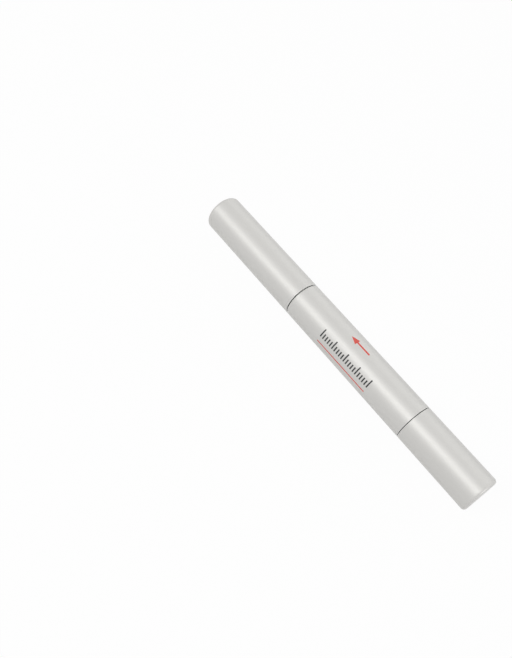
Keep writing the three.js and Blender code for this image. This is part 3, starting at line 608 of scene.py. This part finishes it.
# %% Lining
SEAT_OUTER, SEAT_BORE, LINER_BEAD = 5.4, 4.7, 4.62
POT_OUTER, POT_BORE = 4.5, 3.7
rear, front = ends("cap_liner")
liner_bead = rear + 3.7
seat_floor = rear + 7.9
shoulder = rear + 10.8
pot_floor = front - 1.0
cap_lining = turned("cap_lining", [
    (front, 0.0), (front, POT_OUTER, 0.4), (shoulder, POT_OUTER, 0.2), (shoulder, SEAT_OUTER, 0.12),
    (rear, SEAT_OUTER, 0.15), (rear, 4.85, 0.08), (rear + 0.3, SEAT_BORE, 0.08),
    (liner_bead - 0.6, SEAT_BORE, 0.15), (liner_bead, LINER_BEAD, 0.25),
    (liner_bead + 0.6, SEAT_BORE, 0.15), (seat_floor, SEAT_BORE, 0.05),
    (seat_floor, POT_BORE, 0.15), (pot_floor, POT_BORE, 0.8), (pot_floor, 0.0)])
print("lining of", len(cap_lining.data.polygons), "faces")

# %% [markdown]
# Six ribs keep the pot in the middle of the shell. An Array modifier could set them round the axis,
# but it needs a helper object to turn by. One rib is a bevelled block, and the others are turned
# copies of it.

# %% Ribs
RIB_COUNT, RIB_WIDTH, RIB_DEPTH, RIB_RADIUS = 6, 0.8, 1.0, 4.8
rib_rear, rib_front = shoulder - 0.45, front - 1.2
rib_middle = corner((rib_rear + rib_front) / 2, 0.0) + Vector((0.0, RIB_RADIUS * MM, 0.0))
rib_size = (rib_front - rib_rear, RIB_DEPTH, RIB_WIDTH)
bpy.ops.object.select_all(action="DESELECT")
bpy.ops.mesh.primitive_cube_add(size=MM, location=rib_middle)
rib = bpy.context.active_object
bpy.ops.object.transform_apply(location=True, rotation=True, scale=True)
bpy.ops.object.mode_set(mode="EDIT")
bpy.ops.mesh.select_all(action="SELECT")
bpy.ops.transform.resize(value=rib_size, center_override=rib_middle)
bpy.ops.mesh.bevel(offset=0.12 * MM, segments=2)
bpy.ops.object.mode_set(mode="OBJECT")
print("rib of", [round(side / MM, 2) for side in rib.dimensions], "mm")
to_axis = Matrix.Translation((0.0, 0.0, AXIS))
rib_turns = [to_axis @ Matrix.Rotation(count * math.tau / RIB_COUNT, 4, "X") @ to_axis.inverted()
             for count in range(1, RIB_COUNT)]
joined(cap_lining, repeated(rib, rib_turns))
even_shading(cap_lining)
fit(cap_lining, "cap", "cap_liner", "white_plastic", white_pp)

# %% [markdown]
# A soft flat ring lies at the bottom of the seat and keeps the gel from drying. A plain rectangle
# with broken edges is all that its section needs.

# %% Cap seal
GASKET_INNER, GASKET_OUTER, GASKET_ROUNDING = 3.8, 4.6, 0.15
rear, front = ends("cap_seal")
cap_gasket = turned("cap_gasket", [
    (rear, GASKET_INNER, GASKET_ROUNDING), (rear, GASKET_OUTER, GASKET_ROUNDING),
    (front, GASKET_OUTER, GASKET_ROUNDING), (front, GASKET_INNER, GASKET_ROUNDING)], ring=True)
fit(cap_gasket, "cap", "cap_seal", "soft_seal", soft_elastomer)

# %% [markdown]
# ## The click drive
# The housing, the toothed ring, the pawls, the nut, the keyed sleeve and the knob's hub are
# mouldings with pockets, teeth and keyways, which a lathe can't make. Their solids are already
# right, so each is a copy of its solid with the loose triangles merged, flat faces joined, and its
# edges softened by a small bevel as a mould leaves them. Where two bevels meet in one point, the
# faces that end up without area are dissolved.

# %% Mouldings from their solids
FLAT_ANGLE, EDGE_ANGLE = math.radians(1.0), math.radians(40.0)


def moulding(name, node, edge):
    """A copy of a solid with merged faces and softened edges."""
    piece = bpy.data.objects.new(name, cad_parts[node].data.copy())
    piece.data.materials.clear()
    bpy.context.scene.collection.objects.link(piece)
    bpy.ops.object.select_all(action="DESELECT")
    piece.select_set(True)
    bpy.context.view_layer.objects.active = piece
    bpy.ops.object.mode_set(mode="EDIT")
    bpy.ops.mesh.select_all(action="SELECT")
    bpy.ops.mesh.remove_doubles(threshold=2 * MERGE)
    bpy.ops.mesh.dissolve_limited(angle_limit=FLAT_ANGLE)
    bpy.ops.object.mode_set(mode="OBJECT")
    softening = piece.modifiers.new("softening", "BEVEL")
    softening.width = edge * MM
    softening.segments = 2
    softening.limit_method = "ANGLE"
    softening.angle_limit = EDGE_ANGLE
    bpy.ops.object.modifier_apply(modifier=softening.name)
    bpy.ops.object.mode_set(mode="EDIT")
    bpy.ops.mesh.select_all(action="SELECT")
    bpy.ops.mesh.dissolve_degenerate(threshold=MERGE)
    bpy.ops.object.mode_set(mode="OBJECT")
    even_shading(piece)
    return piece


for name, node, edge, body, slot, finish in (
        # The housing's grey is partly painted shade in the seam at the knob.
        ("drive_housing", "tail_housing", 0.06, "barrel", "grey_plastic", grey_moulding_and_seam_shade),
        ("click_teeth", "ratchet_ring", 0.04, "barrel", "acetal_white", acetal),
        ("click_pawls", "pawl_ring", 0.03, "knob", "acetal_white", acetal),
        ("feed_nut", "screw_nut", 0.08, "barrel", "acetal_white", acetal),
        ("keyed_sleeve", "drive_sleeve", 0.05, "knob", "acetal_white", acetal),
        ("knob_hub", "knob_core", 0.05, "knob", "white_plastic", white_pp)):
    fit(moulding(name, node, edge), body, node, slot, finish)

# %% [markdown]
# ## The feed screw
# The screw has a coarse right-hand thread of 2 mm pitch, so a full turn of the knob feeds 2 mm. Two
# flats along it fit the keyed sleeve. One pitch of the thread is drawn as a wire, and the Screw
# modifier winds it round the world's X axis, so the wire is lowered to that axis first and lifted
# back afterwards.

# %% Thread
PITCH = 2.0
THREAD_ROOT, THREAD_CREST = 1.18, 1.5
TOOTH = ((0.0, THREAD_ROOT), (0.42, THREAD_ROOT), (0.72, THREAD_CREST), (1.28, THREAD_CREST),
         (1.58, THREAD_ROOT), (PITCH, THREAD_ROOT))
SCREW_REAR, SCREW_FRONT = ends("lead_screw")
SCREW_NECK, SCREW_HEAD = SCREW_FRONT - 2.5, SCREW_FRONT - 1.0

thread_start = SCREW_NECK + PITCH
feed_screw = wire("feed_screw", [corner(thread_start - along, radius) for along, radius in TOOTH])
bpy.ops.mesh.select_all(action="SELECT")
bpy.ops.transform.translate(value=(0.0, 0.0, -AXIS))
bpy.ops.object.mode_set(mode="OBJECT")
winding = feed_screw.modifiers.new("winding", "SCREW")
winding.axis = "X"
winding.angle = math.tau
winding.screw_offset = PITCH * MM
winding.iterations = int((SCREW_NECK - SCREW_REAR) / PITCH) + 2
winding.steps = winding.render_steps = 64
winding.use_merge_vertices = True
winding.merge_threshold = MERGE
bpy.ops.object.modifier_apply(modifier=winding.name)
bpy.ops.object.mode_set(mode="EDIT")
bpy.ops.mesh.select_all(action="SELECT")
bpy.ops.transform.translate(value=(0.0, 0.0, AXIS))
bpy.ops.object.mode_set(mode="OBJECT")
print("thread of", len(feed_screw.data.polygons), "faces")

# %% [markdown]
# A Boolean could cut the flats, but it would break up the regular mesh of the thread. What stands
# out past a flat is scaled to nothing along Y instead. Bisecting cuts the ends, and each is closed
# by extruding its edge and merging it in the middle. The neck and the head that swivel in the piston
# are turned.

# %% Flats, ends and head of the screw
SCREW_FLAT, NECK_RADIUS, HEAD_RADIUS = 1.1, 0.9, 1.4
bpy.ops.object.select_all(action="DESELECT")
feed_screw.select_set(True)
bpy.context.view_layer.objects.active = feed_screw
bpy.ops.object.mode_set(mode="EDIT")
for flat in (SCREW_FLAT * MM, -SCREW_FLAT * MM):
    select_where(feed_screw, lambda place: (place.y - flat) * flat > 0.0)
    bpy.ops.transform.resize(value=(1.0, 0.0, 1.0), center_override=(0.0, flat, AXIS))
for station, outward in ((SCREW_REAR, 1.0), (SCREW_NECK, -1.0)):
    cut = corner(station, 0.0)
    bpy.ops.mesh.select_all(action="SELECT")
    bpy.ops.mesh.bisect(plane_co=cut, plane_no=(outward, 0.0, 0.0), clear_outer=True,
                        threshold=MERGE)
    select_where(feed_screw, lambda place: abs(place.x - cut.x) < MERGE)
    bpy.ops.mesh.extrude_region_move()
    bpy.ops.mesh.merge(type="CENTER")
bpy.ops.mesh.select_all(action="SELECT")
bpy.ops.mesh.remove_doubles(threshold=MERGE)
bpy.ops.mesh.normals_make_consistent(inside=False)
bpy.ops.object.mode_set(mode="OBJECT")
screw_head = turned("screw_head", [
    (SCREW_NECK - 0.05, 0.0), (SCREW_NECK - 0.05, NECK_RADIUS), (SCREW_HEAD, NECK_RADIUS),
    (SCREW_HEAD, HEAD_RADIUS, 0.1), (SCREW_FRONT, 1.28, 0.15), (SCREW_FRONT, 0.0)], steps=48)
joined(feed_screw, [screw_head])
even_shading(feed_screw, 15)
fit(feed_screw, "screw", "lead_screw", "white_plastic", white_pp)

# %% [markdown]
# ## A plain printed scale
# The barrel carries a plain scale: a row of ticks, a ruled line under it, and an arrow that points
# to the brush. A texture could hold it, but real geometry keeps its edges sharp at any distance.
# Each mark starts as a flat plate over the top of the barrel and is turned round the axis to its
# place. The Shrinkwrap modifier lays it on the lacquer, and Solidify gives it the thickness of ink.

# %% Plates and ink
PRINT_MIDDLE = (BARREL_REAR + BARREL_FRONT) / 2 + 0.6
PLATE_LIFT, INK = 0.3, 0.012


def plate(along, across, length, width):
    """A flat mark over the barrel, placed from the print's middle towards the brush and to -Y."""
    bpy.ops.object.select_all(action="DESELECT")
    place = corner(PRINT_MIDDLE + along, OUTER + PLATE_LIFT) - Vector((0.0, across * MM, 0.0))
    bpy.ops.mesh.primitive_plane_add(size=MM, location=place)
    mark = bpy.context.active_object
    bpy.ops.object.transform_apply(location=True, rotation=True, scale=True)
    bpy.ops.object.mode_set(mode="EDIT")
    bpy.ops.mesh.select_all(action="SELECT")
    bpy.ops.transform.resize(value=(length, width, 1.0), center_override=place)
    bpy.ops.object.mode_set(mode="OBJECT")
    return mark


def print_marks(name, plates, lean, ink):
    """Joins flat marks, turns them down to -Y by degrees, and prints them on the barrel."""
    marks = plates[0]
    if len(plates) > 1:
        joined(marks, plates[1:])
    marks.name = name
    bpy.ops.object.mode_set(mode="EDIT")
    bpy.ops.mesh.select_all(action="SELECT")
    bpy.ops.mesh.subdivide(number_cuts=4)
    # Without a window the operator turns the other way, so the angle is negative.
    bpy.ops.transform.rotate(value=-math.radians(lean), orient_axis="X",
                             center_override=(0.0, 0.0, AXIS))
    bpy.ops.object.mode_set(mode="OBJECT")
    laying = marks.modifiers.new("laying", "SHRINKWRAP")
    laying.target = barrel_tube
    laying.wrap_method = "NEAREST_SURFACEPOINT"
    laying.offset = INK * MM
    bpy.ops.object.modifier_apply(modifier=laying.name)
    thickness = marks.modifiers.new("thickness", "SOLIDIFY")
    thickness.thickness = 1.5 * INK * MM
    thickness.offset = -1.0
    bpy.ops.object.modifier_apply(modifier=thickness.name)
    marks.data.materials.append(ink)
    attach(marks, "barrel")
    print(name, "of", len(plates), "marks,", len(marks.data.polygons), "faces")


print("ink of", INK, "mm, print centred at station", round(PRINT_MIDDLE, 2))

# %% Ticks and rule
SCALE_LENGTH, LONG_EVERY, LINE = 20, 5, 0.42
LONG_TICK, SHORT_TICK = 3.0, 1.8
TICKS_LEAN, RULE_LEAN = 41.0, 72.0


def towards_brush(count):
    """A move of whole millimetres along the pen."""
    return Matrix.Translation((-count * MM, 0.0, 0.0))


first_long = plate(-SCALE_LENGTH / 2, 0.0, LINE, LONG_TICK)
first_short = plate(1 - SCALE_LENGTH / 2, (LONG_TICK - SHORT_TICK) / 2, LINE, SHORT_TICK)
long_moves = [towards_brush(count) for count in range(LONG_EVERY, SCALE_LENGTH + 1, LONG_EVERY)]
short_moves = [towards_brush(count) for count in range(1, SCALE_LENGTH - 1)
               if (count + 1) % LONG_EVERY != 0]
ticks = repeated(first_long, long_moves) + repeated(first_short, short_moves)
print_marks("scale_ticks", ticks, TICKS_LEAN, black_ink)
print_marks("scale_rule", [plate(0.0, 0.0, SCALE_LENGTH + LINE, LINE)], RULE_LEAN, coral_ink)

# %% [markdown]
# The arrow has a plate for its shaft and one for its head. Merging the two corners at the head's
# front makes it a triangle.

# %% Arrow
ARROW_LEAN = -14.0
arrow_head = plate(2.5, 0.0, 2.6, 2.2)
bpy.ops.object.mode_set(mode="EDIT")
front_edge = min(vertex.co.x for vertex in arrow_head.data.vertices)
select_where(arrow_head, lambda place: place.x < front_edge + 0.01 * MM)
bpy.ops.mesh.merge(type="CENTER")
bpy.ops.object.mode_set(mode="OBJECT")
arrow_shaft = plate(-1.3, 0.0, 5.0, 0.55)
print_marks("feed_arrow", [arrow_head, arrow_shaft], ARROW_LEAN, coral_ink)

# %% [markdown]
# ## Floor, light and backdrop
# The pen lies on a plain white table. A white material alone would render grey where the lamps are
# weak, so the camera sees the floor mostly as a white glow. A small share of it stays a lit surface,
# which keeps the pen's soft shadow.

# %% Floor
FLOOR_SIZE, FLOOR_DROP = 3.0, 0.02 * MM
FLOOR_COLOUR, FLOOR_GLOW = (0.88, 0.88, 0.88), 0.95


def seen_directly(nodes, links):
    """One for what the camera, a reflection or a clear piece sees, and none for other light."""
    path = nodes.new("ShaderNodeLightPath")
    first = nodes.new("ShaderNodeMath")
    first.operation = "MAXIMUM"
    second = nodes.new("ShaderNodeMath")
    second.operation = "MAXIMUM"
    links.new(path.outputs["Is Camera Ray"], first.inputs[0])
    links.new(path.outputs["Is Glossy Ray"], first.inputs[1])
    links.new(first.outputs[0], second.inputs[0])
    links.new(path.outputs["Is Transmission Ray"], second.inputs[1])
    return second.outputs[0]


bpy.ops.object.select_all(action="DESELECT")
bpy.ops.mesh.primitive_plane_add(size=FLOOR_SIZE, location=(0.0, 0.0, -FLOOR_DROP))
floor = bpy.context.active_object
floor.name = "floor"
floor_finish = new_finish("floor_white", FLOOR_COLOUR, 0.9)
nodes, links = floor_finish.node_tree.nodes, floor_finish.node_tree.links
glow = nodes.new("ShaderNodeEmission")
mix = nodes.new("ShaderNodeMixShader")
share = nodes.new("ShaderNodeMath")
share.operation = "MULTIPLY"
share.inputs[1].default_value = FLOOR_GLOW
links.new(seen_directly(nodes, links), share.inputs[0])
links.new(share.outputs[0], mix.inputs["Fac"])
links.new(nodes["Principled BSDF"].outputs["BSDF"], mix.inputs[1])
links.new(glow.outputs["Emission"], mix.inputs[2])
links.new(mix.outputs["Shader"], nodes["Material Output"].inputs["Surface"])
floor.data.materials.append(floor_finish)
print("floor laid")

# %% [markdown]
# The world is a white room. One even strength would either grey the backdrop or flatten the shells,
# so what is seen directly is white, and the light that falls on the pen stays at a lower level.

# %% World
ROOM_LIGHT, BACKDROP_LIGHT = 0.405, 1.0
WHITE = (1.0, 1.0, 1.0, 1.0)

world = bpy.data.worlds.new("studio")
bpy.context.scene.world = world
world.use_nodes = True
nodes, links = world.node_tree.nodes, world.node_tree.links
room = nodes["Background"]
room.inputs["Color"].default_value = WHITE
room.inputs["Strength"].default_value = ROOM_LIGHT
backdrop = nodes.new("ShaderNodeBackground")
backdrop.inputs["Color"].default_value = WHITE
backdrop.inputs["Strength"].default_value = BACKDROP_LIGHT
mix = nodes.new("ShaderNodeMixShader")
links.new(seen_directly(nodes, links), mix.inputs["Fac"])
links.new(room.outputs["Background"], mix.inputs[1])
links.new(backdrop.outputs["Background"], mix.inputs[2])
links.new(mix.outputs["Shader"], nodes["World Output"].inputs["Surface"])
print("room light", ROOM_LIGHT, "and backdrop", BACKDROP_LIGHT)

# %% [markdown]
# One long softbox above the pen draws the bright line along the shells, a broad one behind it lights
# their far side, and a small lamp beyond the knob lifts its closed end. They are area lamps, because
# a point lamp would leave a small hard spot on the lacquer.


# %% Lamps
def softbox(name, place, heading, length, width, power):
    """A lamp that faces the pen. Its long side runs at a heading in degrees from the pen's line."""
    lamp = bpy.data.lights.new(name, "AREA")
    lamp.shape = "RECTANGLE"
    lamp.size = length
    lamp.size_y = width
    lamp.energy = power
    holder = bpy.data.objects.new(name, lamp)
    along = Vector((math.cos(math.radians(heading)), math.sin(math.radians(heading)), 0.0))
    away = Vector(place) - Vector((0.0, 0.0, AXIS))
    away = (away - away.dot(along) * along).normalized()
    facing = Matrix((along, away.cross(along), away)).transposed().to_4x4()
    holder.matrix_world = Matrix.Translation(place) @ facing
    bpy.context.scene.collection.objects.link(holder)
    print(name, "at", [round(c, 3) for c in place], power, "W")


softbox("key_softbox", (-0.17, -0.25, 0.50), heading=24.5, length=0.9, width=0.20, power=1.77)
softbox("back_softbox", (0.0, 0.82, 0.38), heading=0.0, length=1.4, width=0.80, power=1.90)
softbox("end_softbox", (0.58, 0.14, 0.12), heading=90.0, length=0.10, width=0.10, power=0.50)
